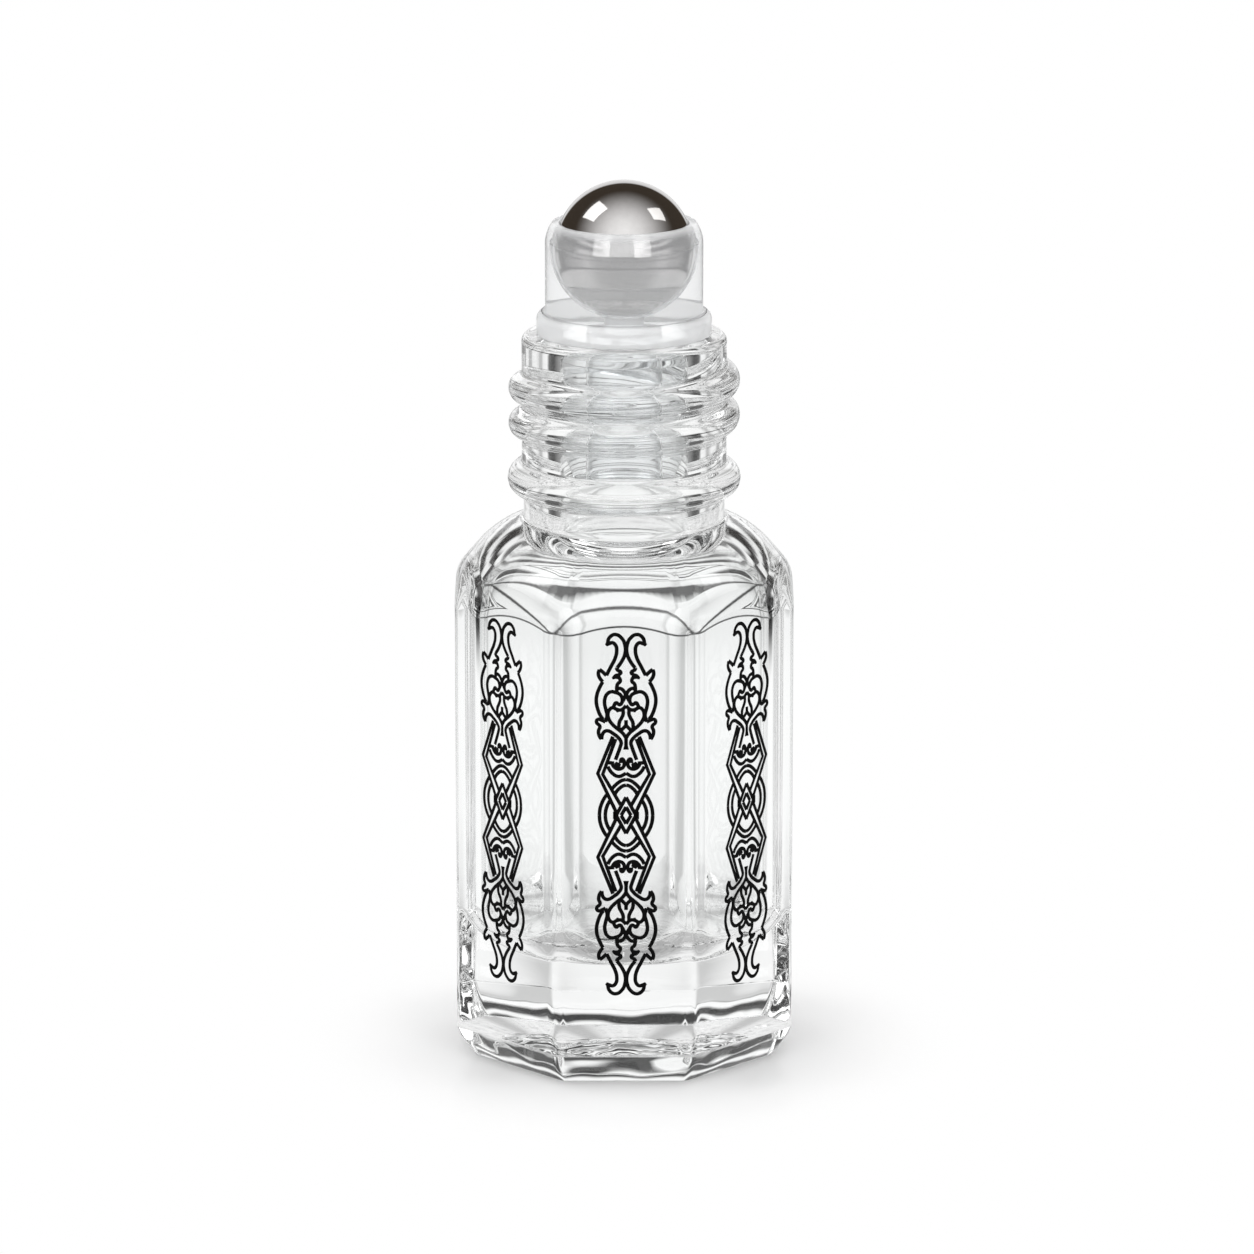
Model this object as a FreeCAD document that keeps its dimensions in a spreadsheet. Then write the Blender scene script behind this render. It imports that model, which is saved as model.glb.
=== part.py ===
import FreeCAD, Part
import math
import os
import Sketcher

# Roll-on bottle: an octagonal glass bottle, a press-in ball housing and a steel ball.
# The base stands on z = 0, the bottle's axis is Z and one flat panel faces -Y.

PANEL_COUNT = 8
HALF_PANEL_ANGLE = 180 / PANEL_COUNT

# Driving dimensions in millimetres, angles in degrees
SIZES = {
    # Glass body
    "body_width": 21.4,
    "body_edge_radius": 1.4,
    "base_chamfer_height": 2.0,
    "base_chamfer_inset": 1.25,
    "panel_height": 31.1,
    "arch_edge_radius": 0.5,
    "shoulder_slope": 40,
    "shoulder_radius": 6.1,
    "shoulder_top_slope": 14.7,
    "glass_wall": 1.9,
    "base_thickness": 5.55,
    "bowl_radius": 4.3,
    "inner_edge_radius": 1.2,
    "punt_diameter": 11.0,
    "punt_depth": 0.6,
    # Neck finish
    "neck_base_diameter": 12.75,
    "neck_step": 0.105,
    "neck_wall": 2.325,
    "neck_root_radius": 0.4,
    "bore_edge_radius": 0.6,
    "bead_rise": 2.6,
    "bead_height": 0.9,
    "bead_radius": 1.0,
    "thread_rise": 2.65,
    "thread_height": 0.84,
    "thread_radius": 0.9,
    "thread_pitch": 2.25,
    "thread_turns": 2,
    "lip_rise": 6.6,
    "lip_edge_radius": 0.5,
    # Ball housing
    "seat_clearance": 0.02,
    "plug_clearance": 0.03,
    "plug_length": 9.1,
    "plug_gap": 0.2,
    "plug_taper_length": 1.9,
    "plug_tip_inset": 0.7,
    "plug_wall": 1.55,
    "rib_radius": 0.35,
    "rib_drop": 1.1,
    "rib_spacing": 2.2,
    "collar_overhang": 0.55,
    "collar_height": 1.4,
    "collar_edge_radius": 0.45,
    "cup_gap": 0.1695,
    "cup_wall": 0.435,
    "cup_root_radius": 0.3,
    "rim_rise": 1.75,
    "rim_round_radius": 2.25,
    "rim_edge_radius": 0.1,
    "grip_rise": 0.4,
    "seat_slope": 55,
    "feed_diameter": 2.4,
    "web_thickness": 0.7,
    # Ball
    "ball_diameter": 8.731,
    "ball_rise": 5.34,
    "ball_clearance": 0.05,
    # Tools for cutting
    "cut_overrun": 1.0,
}
RIB_COUNT = 3
TOLERANCE = 0.0001

doc = FreeCAD.newDocument("roll_on_bottle")
sheet = doc.addObject("Spreadsheet::Sheet", "sizes")
for row, (alias, number) in enumerate(SIZES.items(), start=1):
    sheet.set(f"A{row}", alias)
    sheet.set(f"B{row}", str(number))
    sheet.setAlias(f"B{row}", alias)
doc.recompute()


def size(alias):
    """Give the expression that reads one driving dimension."""
    return f"sizes.{alias}"


def half(alias):
    """Give the expression of half a driving dimension, such as a radius."""
    return f"(sizes.{alias} / 2)"


def total(*terms):
    """Give the expression that adds terms up."""
    return "(" + " + ".join(terms) + ")"


def less(term, *others):
    """Give the expression of a term less the others."""
    return "(" + " - ".join((term,) + others) + ")"


def value(expression):
    """Work out an expression with the sheet's present numbers."""
    return float(sheet.evalExpression(expression))


# Outer shoulder: a cone from the panels' tops, then an arc that ends at the neck
shoulder_centre_r = less(half("neck_base_diameter"),
                         "sizes.shoulder_radius * sin(sizes.shoulder_top_slope)")
cone_end_r = total(shoulder_centre_r, "sizes.shoulder_radius * cos(sizes.shoulder_slope)")
cone_end_z = total(size("panel_height"),
                   f"({half('body_width')} - {cone_end_r}) / tan(sizes.shoulder_slope)")
shoulder_centre_z = less(cone_end_z, "sizes.shoulder_radius * sin(sizes.shoulder_slope)")
neck_root_z = total(shoulder_centre_z, "sizes.shoulder_radius * cos(sizes.shoulder_top_slope)")

# Heights that stack up from the neck's root
bead_z = total(neck_root_z, size("bead_rise"))
thread_low_z = total(bead_z, size("thread_rise"))
thread_high_z = total(thread_low_z, "sizes.thread_pitch * sizes.thread_turns")
lip_z = total(thread_low_z, size("lip_rise"))
seat_z = total(lip_z, size("seat_clearance"))
ball_z = total(lip_z, size("ball_rise"))

# Inner hollow, one wall inside the outer shape
inner_half = less(half("body_width"), size("glass_wall"))
inner_corner_r = f"({inner_half} / cos({HALF_PANEL_ANGLE}))"
outer_corner_r = f"({half('body_width')} / cos({HALF_PANEL_ANGLE}))"
inner_shoulder_radius = less(size("shoulder_radius"), size("glass_wall"))
hollow_top_z = total(shoulder_centre_z, inner_shoulder_radius)

# Neck, bead and thread, each a step outside or inside the neck's base
neck_r = total(half("neck_base_diameter"), size("neck_step"))
bead_r = total(neck_r, size("bead_height"))
thread_r = total(neck_r, size("thread_height"))
bore_r = less(half("neck_base_diameter"), size("neck_wall"))
bore_mouth_z = total(shoulder_centre_z,
                     f"sqrt({inner_shoulder_radius}^2 - max(0; {bore_r} - {shoulder_centre_r})^2)")

# Plug, which fits the neck's bore
plug_r = less(bore_r, size("plug_gap"))
plug_tip_r = less(plug_r, size("plug_tip_inset"))
plug_bore_r = less(plug_r, size("plug_wall"))

# Cup and collar, which fit round the ball
grip_radius = total(half("ball_diameter"), size("ball_clearance"))
cup_bore_r = total(half("ball_diameter"), size("cup_gap"))
cup_r = total(cup_bore_r, size("cup_wall"))
collar_r = total(cup_r, size("collar_overhang"))


def origin_part(body, role):
    """Find a plane or an axis of the body's own origin."""
    return next(part for part in body.Origin.OriginFeatures if part.Role == role)


def new_sketch(body, name, role):
    """Add a sketch on one of the body's own origin planes."""
    sketch = body.newObject("Sketcher::SketchObject", name)
    sketch.AttachmentSupport = [(origin_part(body, role), "")]
    sketch.MapMode = "FlatFace"
    return sketch


def bind(sketch, constraint, expression):
    """Add a constraint and tie its value to an expression."""
    index = sketch.addConstraint(constraint)
    sketch.setExpression(f"Constraints[{index}]", expression)


def pin_point(sketch, edge, end, across, up):
    """Tie one end of an edge to its place, as two expressions from the sketch's origin."""
    if across == "0":
        sketch.addConstraint(Sketcher.Constraint("PointOnObject", edge, end, -2))
    else:
        place = Sketcher.Constraint("DistanceX", -1, 1, edge, end, value(across))
        bind(sketch, place, across)
    if up == "0":
        sketch.addConstraint(Sketcher.Constraint("PointOnObject", edge, end, -1))
    else:
        place = Sketcher.Constraint("DistanceY", -1, 1, edge, end, value(up))
        bind(sketch, place, up)


def add_arc(sketch, start, end, radius, leftward):
    """Add an arc whose centre lies left or right of the way from start to end."""
    chord = end - start
    left = FreeCAD.Vector(-chord.y, chord.x, 0).normalize()
    depth = math.sqrt(max(radius**2 - (chord.Length / 2)**2, 0))
    centre = (start + end) / 2 + left * (depth if leftward else -depth)
    first, last = (start, end) if leftward else (end, start)
    angles = [math.atan2(point.y - centre.y, point.x - centre.x) for point in (first, last)]
    circle = Part.Circle(centre, FreeCAD.Vector(0, 0, 1), radius)
    return sketch.addGeometry(Part.ArcOfCircle(circle, angles[0], angles[1]))


def closed_outline(body, name, role, corners, arcs=None):
    """Draw a closed outline through corners given as expression pairs.

    arcs maps a corner's number to (radius expression, centre is leftward) where the stretch
    that starts there is an arc.
    """
    arcs = arcs or {}
    sketch = new_sketch(body, name, role)
    points = [FreeCAD.Vector(value(across), value(up), 0) for across, up in corners]
    ends = []
    for number, start in enumerate(points):
        end = points[(number + 1) % len(points)]
        if number in arcs:
            radius, leftward = arcs[number]
            edge = add_arc(sketch, start, end, value(radius), leftward)
            ends.append((edge, 1, 2) if leftward else (edge, 2, 1))
        else:
            edge = sketch.addGeometry(Part.LineSegment(start, end))
            ends.append((edge, 1, 2))
    for (edge, _, last), (following, first, _) in zip(ends, ends[1:] + ends[:1]):
        sketch.addConstraint(Sketcher.Constraint("Coincident", edge, last, following, first))
    for (edge, first, _), (across, up) in zip(ends, corners):
        pin_point(sketch, edge, first, across, up)
    for number, (radius, _) in arcs.items():
        edge = ends[number][0]
        bind(sketch, Sketcher.Constraint("Radius", edge, value(radius)), radius)
    doc.recompute()
    return sketch


def circle_sketch(body, name, role, across, up, radius):
    """Draw a circle with its centre at a place given by two expressions."""
    sketch = new_sketch(body, name, role)
    centre = FreeCAD.Vector(value(across), value(up), 0)
    edge = sketch.addGeometry(Part.Circle(centre, FreeCAD.Vector(0, 0, 1), value(radius)))
    pin_point(sketch, edge, 3, across, up)
    bind(sketch, Sketcher.Constraint("Radius", edge, value(radius)), radius)
    doc.recompute()
    return sketch


def octagon_sketch(body, name, half_width, edge_radius, height):
    """Draw a regular octagon with rounded corners, level at a height, one side square to -Y."""
    sketch = new_sketch(body, name, "XY_Plane")
    sketch.setExpression("AttachmentOffset.Base.z", height)
    axis = FreeCAD.Vector(0, 0, 1)
    reach = f"(({half_width} - {edge_radius}) / cos({HALF_PANEL_ANGLE}))"
    radius = value(edge_radius)
    circle = sketch.addGeometry(Part.Circle(FreeCAD.Vector(0, 0, 0), axis, value(reach)), True)
    sketch.addConstraint(Sketcher.Constraint("Coincident", circle, 3, -1, 1))
    bind(sketch, Sketcher.Constraint("Radius", circle, value(reach)), reach)
    step = math.radians(2 * HALF_PANEL_ANGLE)
    arcs = []
    for number in range(PANEL_COUNT):
        turned = step * (number + 1 / 2)
        centre = FreeCAD.Vector(math.cos(turned), math.sin(turned), 0) * value(reach)
        corner = Part.Circle(centre, axis, radius)
        arcs.append(sketch.addGeometry(Part.ArcOfCircle(corner, turned - step / 2, turned + step / 2)))
    sides = []
    for number, arc in enumerate(arcs):
        following = arcs[(number + 1) % PANEL_COUNT]
        start = sketch.getPoint(arc, 2)
        end = sketch.getPoint(following, 1)
        sides.append(sketch.addGeometry(Part.LineSegment(start, end)))
    for number, (arc, side) in enumerate(zip(arcs, sides)):
        following = arcs[(number + 1) % PANEL_COUNT]
        sketch.addConstraint(Sketcher.Constraint("Tangent", arc, 2, side, 1))
        sketch.addConstraint(Sketcher.Constraint("Tangent", side, 2, following, 1))
        sketch.addConstraint(Sketcher.Constraint("PointOnObject", arc, 3, circle))
        if number:
            sketch.addConstraint(Sketcher.Constraint("Equal", arcs[0], arc))
            sketch.addConstraint(Sketcher.Constraint("Equal", sides[0], side))
    sketch.addConstraint(Sketcher.Constraint("Horizontal", sides[1]))
    bind(sketch, Sketcher.Constraint("Radius", arcs[0], radius), edge_radius)
    doc.recompute()
    return sketch


def pad(body, sketch, name, length):
    """Raise a sketch by a length."""
    feature = body.newObject("PartDesign::Pad", name)
    feature.Profile = sketch
    feature.setExpression("Length", length)
    doc.recompute()
    return feature


def turn(body, sketch, name, kind):
    """Turn a sketch all the way round the Z axis, as a Revolution or a Groove."""
    feature = body.newObject(f"PartDesign::{kind}", name)
    feature.Profile = sketch
    feature.ReferenceAxis = (sketch, ["V_Axis"])
    feature.Angle = 360
    doc.recompute()
    return feature


def edges_where(feature, test):
    """Name the edges of a feature that pass a test."""
    edges = enumerate(feature.Shape.Edges, start=1)
    return [f"Edge{number}" for number, edge in edges if test(edge)]


def fillet(body, feature, name, test, radius):
    """Round the edges of a feature that pass a test."""
    rounded = body.newObject("PartDesign::Fillet", name)
    rounded.Base = (feature, edges_where(feature, test))
    rounded.setExpression("Radius", radius)
    doc.recompute()
    return rounded


def near(first, second):
    """Tell whether two lengths agree to within the tolerance."""
    return abs(first - second) < TOLERANCE


def is_upright(edge):
    """Tell whether an edge is a straight line along Z."""
    if not isinstance(edge.Curve, Part.Line):
        return False
    return near(abs(edge.tangentAt(edge.FirstParameter).z), 1)


def lies_at(edge, height):
    """Tell whether all of an edge lies at one height."""
    return near(edge.BoundBox.ZMin, height) and near(edge.BoundBox.ZMax, height)


def is_ring(edge, radius, height):
    """Tell whether an edge is a circle about Z with this radius at this height."""
    return isinstance(edge.Curve, Part.Circle) and near(edge.Curve.Radius, radius) \
        and lies_at(edge, height)


def octagon_prism(body):
    """Raise the octagon from the top of the base's chamfer, and loft the chamfer below it."""
    edge_radius = size("body_edge_radius")
    chamfer_z = size("base_chamfer_height")
    foot_half = less(half("body_width"), size("base_chamfer_inset"))
    panels = octagon_sketch(body, "PanelOutline", half("body_width"), edge_radius, chamfer_z)
    pad(body, panels, "Panels", less(lip_z, chamfer_z))
    foot = octagon_sketch(body, "FootOutline", foot_half, edge_radius, "0 mm")
    chamfer = body.newObject("PartDesign::AdditiveLoft", "BaseChamfer")
    chamfer.Profile = foot
    chamfer.Sections = [panels]
    chamfer.Ruled = True
    doc.recompute()
    return chamfer


def is_arch(edge):
    """Tell whether an edge is part of the line where the panels meet the shoulder's cone."""
    reach = max(math.hypot(vertex.X, vertex.Y) for vertex in edge.Vertexes)
    box = edge.BoundBox
    above_base = box.ZMin > value(size("panel_height")) / 2
    below_neck = box.ZMax < value(size("panel_height")) + TOLERANCE
    outside = reach > value(half("body_width")) - TOLERANCE
    return above_base and below_neck and outside and not is_upright(edge)


def turn_shoulder_and_neck(body):
    """Cut the prism down to the shoulder's cone and arc and to the neck."""
    far_r = total(outer_corner_r, size("cut_overrun"))
    far_z = less(cone_end_z, f"({far_r} - {cone_end_r}) / tan(sizes.shoulder_slope)")
    top_z = total(lip_z, size("cut_overrun"))
    corners = [
        (far_r, far_z),
        (far_r, top_z),
        (neck_r, top_z),
        (neck_r, bead_z),
        (half("neck_base_diameter"), bead_z),
        (half("neck_base_diameter"), neck_root_z),
        (cone_end_r, cone_end_z),
    ]
    arcs = {5: (size("shoulder_radius"), False)}
    sketch = closed_outline(body, "ShoulderCut", "XZ_Plane", corners, arcs)
    return turn(body, sketch, "ShoulderAndNeck", "Groove")


def cut_punt(body):
    """Hollow the underside with a shallow dish, so that the bottle stands on its rim."""
    dish_r = half("punt_diameter")
    dish_radius = f"(({dish_r}^2 + sizes.punt_depth^2) / (2 * sizes.punt_depth))"
    corners = [("0", "0"), (dish_r, "0"), ("0", size("punt_depth"))]
    sketch = closed_outline(body, "PuntCut", "XZ_Plane", corners, {1: (dish_radius, True)})
    return turn(body, sketch, "Punt", "Groove")


def add_bead(body):
    """Add the round ring under the thread."""
    centre_r = less(bead_r, size("bead_radius"))
    sketch = circle_sketch(body, "BeadSection", "XZ_Plane", centre_r, bead_z, size("bead_radius"))
    return turn(body, sketch, "Bead", "Revolution")


thread_centre_r = less(thread_r, size("thread_radius"))


def thread_section(body, name, height, root_r):
    """Draw the thread's section: a half round with a straight root that reaches into the neck."""
    radius = size("thread_radius")
    low_z = less(height, radius)
    high_z = total(height, radius)
    corners = [
        (root_r, low_z),
        (thread_centre_r, low_z),
        (thread_centre_r, high_z),
        (root_r, high_z),
    ]
    return closed_outline(body, name, "YZ_Plane", corners, {1: (radius, True)})


def add_thread(body):
    """Wind a round right-hand thread about the neck, with both ends at the back."""
    root_r = less(neck_r, size("thread_radius"))
    sketch = thread_section(body, "ThreadSection", thread_low_z, root_r)
    helix = body.newObject("PartDesign::AdditiveHelix", "Thread")
    helix.Profile = sketch
    helix.ReferenceAxis = (sketch, ["V_Axis"])
    helix.Mode = "pitch-turns-angle"
    helix.setExpression("Pitch", size("thread_pitch"))
    helix.setExpression("Turns", size("thread_turns"))
    helix.LeftHanded = False
    doc.recompute()
    return helix


def round_thread_end(body, name, height, turned, reverse):
    """Close one end of the thread, a number of turns from the back, with half a ball."""
    radius = size("thread_radius")
    corners = [(thread_centre_r, less(height, radius)), (thread_centre_r, total(height, radius))]
    sketch = closed_outline(body, f"{name}Section", "YZ_Plane", corners, {0: (radius, True)})
    sketch.AttachmentOffset = FreeCAD.Placement(FreeCAD.Vector(), FreeCAD.Vector(0, 1, 0), 0)
    sketch.setExpression("AttachmentOffset.Rotation.Angle", f"360 deg * ({turned})")
    doc.recompute()
    end = body.newObject("PartDesign::Revolution", name)
    end.Profile = sketch
    end.ReferenceAxis = (sketch, ["Edge2"])
    end.Angle = 180
    end.Reversed = reverse
    doc.recompute()
    return end


def glass_outside():
    """Make the bottle's outer shape as one solid."""
    body = doc.addObject("PartDesign::Body", "GlassOutside")
    octagon_prism(body)
    turned = turn_shoulder_and_neck(body)
    arches = fillet(body, turned, "ArchEdges", is_arch, size("arch_edge_radius"))
    root_r = value(half("neck_base_diameter"))
    root_z = value(neck_root_z)
    root = fillet(body, arches, "NeckRoot", lambda edge: is_ring(edge, root_r, root_z),
                  size("neck_root_radius"))
    lip_r = value(neck_r)
    top_z = value(lip_z)
    fillet(body, root, "LipEdge", lambda edge: is_ring(edge, lip_r, top_z), size("lip_edge_radius"))
    cut_punt(body)
    add_bead(body)
    add_thread(body)
    round_thread_end(body, "ThreadLowEnd", thread_low_z, "0", False)
    round_thread_end(body, "ThreadHighEnd", thread_high_z, size("thread_turns"), True)
    return body


def cut_inner_shoulder(body):
    """Cut the hollow's top down to a cone and an arc that follow the outer shoulder."""
    far_r = total(inner_corner_r, size("cut_overrun"))
    inner_cone_end_r = total(shoulder_centre_r, f"{inner_shoulder_radius} * cos(sizes.shoulder_slope)")
    inner_cone_end_z = total(shoulder_centre_z, f"{inner_shoulder_radius} * sin(sizes.shoulder_slope)")
    far_z = less(inner_cone_end_z, f"({far_r} - {inner_cone_end_r}) / tan(sizes.shoulder_slope)")
    top_z = total(hollow_top_z, size("cut_overrun"))
    corners = [
        (far_r, far_z),
        (far_r, top_z),
        (shoulder_centre_r, top_z),
        (shoulder_centre_r, hollow_top_z),
        (inner_cone_end_r, inner_cone_end_z),
    ]
    arcs = {3: (inner_shoulder_radius, False)}
    sketch = closed_outline(body, "InnerShoulderCut", "XZ_Plane", corners, arcs)
    return turn(body, sketch, "InnerShoulder", "Groove")


def round_bowl(body):
    """Round the hollow's floor into a bowl."""
    far_r = total(inner_corner_r, size("cut_overrun"))
    floor_r = less(inner_corner_r, size("bowl_radius"))
    wall_z = total(size("base_thickness"), size("bowl_radius"))
    below_z = less(size("base_thickness"), size("cut_overrun"))
    corners = [
        (floor_r, below_z),
        (far_r, below_z),
        (far_r, wall_z),
        (inner_corner_r, wall_z),
        (floor_r, size("base_thickness")),
    ]
    arcs = {3: (size("bowl_radius"), False)}
    sketch = closed_outline(body, "BowlCut", "XZ_Plane", corners, arcs)
    return turn(body, sketch, "Bowl", "Groove")


def open_neck(body):
    """Run the neck's bore from the hollow out past the lip."""
    sketch = circle_sketch(body, "BoreOutline", "XY_Plane", "0", "0", bore_r)
    sketch.setExpression("AttachmentOffset.Base.z", shoulder_centre_z)
    length = total(less(lip_z, shoulder_centre_z), size("cut_overrun"))
    bore = pad(body, sketch, "Bore", length)
    mouth_r = value(bore_r)
    mouth_z = value(bore_mouth_z)
    return fillet(body, bore, "BoreEdge", lambda edge: is_ring(edge, mouth_r, mouth_z),
                  size("bore_edge_radius"))


def glass_hollow():
    """Make the space inside the bottle as one solid."""
    body = doc.addObject("PartDesign::Body", "GlassHollow")
    sketch = octagon_sketch(body, "HollowOutline", inner_half, size("inner_edge_radius"),
                            size("base_thickness"))
    pad(body, sketch, "HollowPrism", less(hollow_top_z, size("base_thickness")))
    cut_inner_shoulder(body)
    round_bowl(body)
    open_neck(body)
    return body


def glass_bottle():
    """Make the hollow glass bottle."""
    bottle = doc.addObject("Part::Cut", "GlassBottle")
    bottle.Base = glass_outside()
    bottle.Tool = glass_hollow()
    bottle.Label = "glass_bottle"
    doc.recompute()
    return bottle


def housing_outline(body):
    """Draw half the housing's section: plug, collar, cup, rim, grip, seat, feed hole and plug bore."""
    tip_z = less(lip_z, size("plug_length"))
    collar_z = total(seat_z, size("collar_height"))
    rim_z = total(ball_z, size("rim_rise"))
    grip_z = total(ball_z, size("grip_rise"))
    rim_inner_r = f"sqrt({grip_radius}^2 - sizes.rim_rise^2)"
    grip_low_r = f"sqrt({grip_radius}^2 - sizes.grip_rise^2)"
    rim_width_share = "1 / 2"
    rim_outer_r = total(rim_inner_r, f"({cup_r} - {rim_inner_r}) * {rim_width_share}")
    round_depth = less(cup_r, rim_outer_r)
    round_height = f"sqrt(sizes.rim_round_radius^2 - (sizes.rim_round_radius - {round_depth})^2)"
    seat_top_z = less(ball_z, f"({grip_radius} - {cup_bore_r} * cos(sizes.seat_slope))"
                              " / sin(sizes.seat_slope)")
    seat_low_z = less(ball_z, f"({grip_radius} - {half('feed_diameter')} * cos(sizes.seat_slope))"
                              " / sin(sizes.seat_slope)")
    web_z = less(seat_low_z, size("web_thickness"))
    corners = [
        (plug_bore_r, tip_z),
        (plug_tip_r, tip_z),
        (plug_r, total(tip_z, size("plug_taper_length"))),
        (plug_r, seat_z),
        (collar_r, seat_z),
        (collar_r, collar_z),
        (cup_r, collar_z),
        (cup_r, less(rim_z, round_height)),
        (rim_outer_r, rim_z),
        (rim_inner_r, rim_z),
        (grip_low_r, grip_z),
        (cup_bore_r, grip_z),
        (cup_bore_r, seat_top_z),
        (half("feed_diameter"), seat_low_z),
        (half("feed_diameter"), web_z),
        (plug_bore_r, web_z),
    ]
    arcs = {7: (size("rim_round_radius"), True), 9: (grip_radius, False)}
    return closed_outline(body, "HousingSection", "XZ_Plane", corners, arcs)


def add_ribs(body):
    """Ring the plug with round ribs that seal it in the neck's bore."""
    crest_r = less(bore_r, size("plug_clearance"))
    centre_r = less(crest_r, size("rib_radius"))
    first_z = less(lip_z, size("rib_drop"))
    sketch = circle_sketch(body, "RibSection", "XZ_Plane", centre_r, first_z, size("rib_radius"))
    rib = turn(body, sketch, "Rib", "Revolution")
    ribs = body.newObject("PartDesign::LinearPattern", "Ribs")
    ribs.Originals = [rib]
    ribs.Direction = (origin_part(body, "Z_Axis"), [""])
    ribs.Reversed = True
    ribs.Mode = "Spacing"
    ribs.Occurrences = RIB_COUNT
    ribs.setExpression("Offset", size("rib_spacing"))
    body.Tip = ribs
    doc.recompute()
    return ribs


def ball_housing():
    """Make the one-piece plastic housing that plugs the neck and holds the ball."""
    body = doc.addObject("PartDesign::Body", "BallHousing")
    body.Label = "ball_housing"
    housing = turn(body, housing_outline(body), "Housing", "Revolution")
    collar_top = value(total(seat_z, size("collar_height")))
    rim_top = value(total(ball_z, size("rim_rise")))
    collar = fillet(body, housing, "CollarEdge",
                    lambda edge: is_ring(edge, value(collar_r), collar_top), size("collar_edge_radius"))
    root = fillet(body, collar, "CupRoot",
                  lambda edge: is_ring(edge, value(cup_r), collar_top), size("cup_root_radius"))
    fillet(body, root, "RimEdges", lambda edge: lies_at(edge, rim_top), size("rim_edge_radius"))
    add_ribs(body)
    return body


def roller_ball():
    """Make the steel ball, resting in the housing's seat."""
    ball = doc.addObject("Part::Sphere", "RollerBall")
    ball.Label = "roller_ball"
    ball.setExpression("Radius", half("ball_diameter"))
    ball.setExpression("Placement.Base.z", ball_z)
    doc.recompute()
    return ball


def write_parts(pieces):
    """Stop on any failed object or shape, then write each piece to its own file."""
    for item in doc.Objects:
        if "Invalid" in item.State or "Error" in item.State:
            raise RuntimeError(f"{item.Name} failed: {item.State}")
    for piece in pieces:
        if piece.Shape.isNull() or not piece.Shape.isValid():
            raise RuntimeError(f"{piece.Label} has no valid shape")
    os.makedirs("parts", exist_ok=True)
    for piece in pieces:
        piece.Shape.exportStep(f"parts/{piece.Label}.step")
        print(piece.Label, "volume", round(piece.Shape.Volume, 3), "solids", len(piece.Shape.Solids))


write_parts([glass_bottle(), ball_housing(), roller_ball()])
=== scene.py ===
import math

import bpy
from mathutils import Matrix, Vector


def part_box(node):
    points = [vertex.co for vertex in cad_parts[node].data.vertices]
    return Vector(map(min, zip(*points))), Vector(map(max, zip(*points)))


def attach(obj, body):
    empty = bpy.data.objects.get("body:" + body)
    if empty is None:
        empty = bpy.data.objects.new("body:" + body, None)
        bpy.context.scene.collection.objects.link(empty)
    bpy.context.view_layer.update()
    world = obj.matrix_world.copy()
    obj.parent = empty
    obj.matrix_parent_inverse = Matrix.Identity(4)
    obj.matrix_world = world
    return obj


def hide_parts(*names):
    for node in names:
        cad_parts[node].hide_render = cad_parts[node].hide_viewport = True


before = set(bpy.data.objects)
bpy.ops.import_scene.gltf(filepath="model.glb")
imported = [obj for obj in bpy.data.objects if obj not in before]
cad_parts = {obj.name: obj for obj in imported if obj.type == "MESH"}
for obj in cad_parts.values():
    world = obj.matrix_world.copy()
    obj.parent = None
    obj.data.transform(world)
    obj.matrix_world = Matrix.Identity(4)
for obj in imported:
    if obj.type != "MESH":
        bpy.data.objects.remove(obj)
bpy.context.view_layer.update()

# Roll-on bottle: octagonal glass with a black printed ornament, a milky ball housing and a steel ball
# Lengths are in metres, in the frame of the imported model: Z is up and the front panel faces -Y

MM = 0.001
glass_low, glass_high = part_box("glass_bottle")
housing_low, housing_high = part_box("ball_housing")
ball_low, ball_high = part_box("roller_ball")

# Ink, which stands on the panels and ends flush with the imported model's box
INK_HEIGHT = 0.02 * MM
INK_HALF_WIDTH = 0.12 * MM

# Glass body
PANELS = 8
PANEL_ANGLE = 2 * math.pi / PANELS
BODY_HALF = (glass_high.x - glass_low.x) / 2 - INK_HEIGHT
EDGE_RADIUS = 1.4 * MM
FOOT_EDGE_RADIUS = 0.5 * MM
FOOT_INSET = 1.25 * MM
FOOT_ROUND = 0.12 * MM
CHAMFER_HEIGHT = 2.0 * MM
CHAMFER_ROUND = 0.15 * MM
CHAMFER_SWELL = 0.12 * MM
ARCH_ROUND = 2.0 * MM
SHOULDER_SLOPE = math.radians(40)
SHOULDER_RADIUS = 6.1 * MM
SHOULDER_CENTRE = Vector((4.827, 28.609)) * MM
PUNT_RADIUS = 5.5 * MM
PUNT_DEPTH = 0.6 * MM
WALL = 1.9 * MM
FLOOR_HEIGHT = 7.0 * MM
BOWL_RADIUS = 4.3 * MM
BOWL_ROUND = 0.8 * MM
INNER_EDGE_RADIUS = 2.6 * MM
INNER_ARCH_ROUND = 2.5 * MM

# Neck finish
LIP_Z = glass_high.z
NECK_BASE_RADIUS = 6.375 * MM
NECK_RADIUS = 6.48 * MM
NECK_ROOT_ROUND = 0.4 * MM
BORE_RADIUS = 4.05 * MM
BORE_ROUND = 0.6 * MM
LIP_ROUND = 0.5 * MM
LIP_INNER_ROUND = 0.35 * MM
BEAD_CENTRE = Vector((6.38, 37.109)) * MM
BEAD_RADIUS = 1.0 * MM
BEAD_ROOT_ROUND = 0.25 * MM
THREAD_LOW_Z = 39.759 * MM
THREAD_PITCH = 2.25 * MM
THREAD_TURNS = 2
THREAD_EASE_SHARE = 0.85
THREAD_RADIUS = 0.9 * MM
THREAD_CENTRE_RADIUS = 6.42 * MM
THREAD_BLEND = 0.35 * MM

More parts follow.
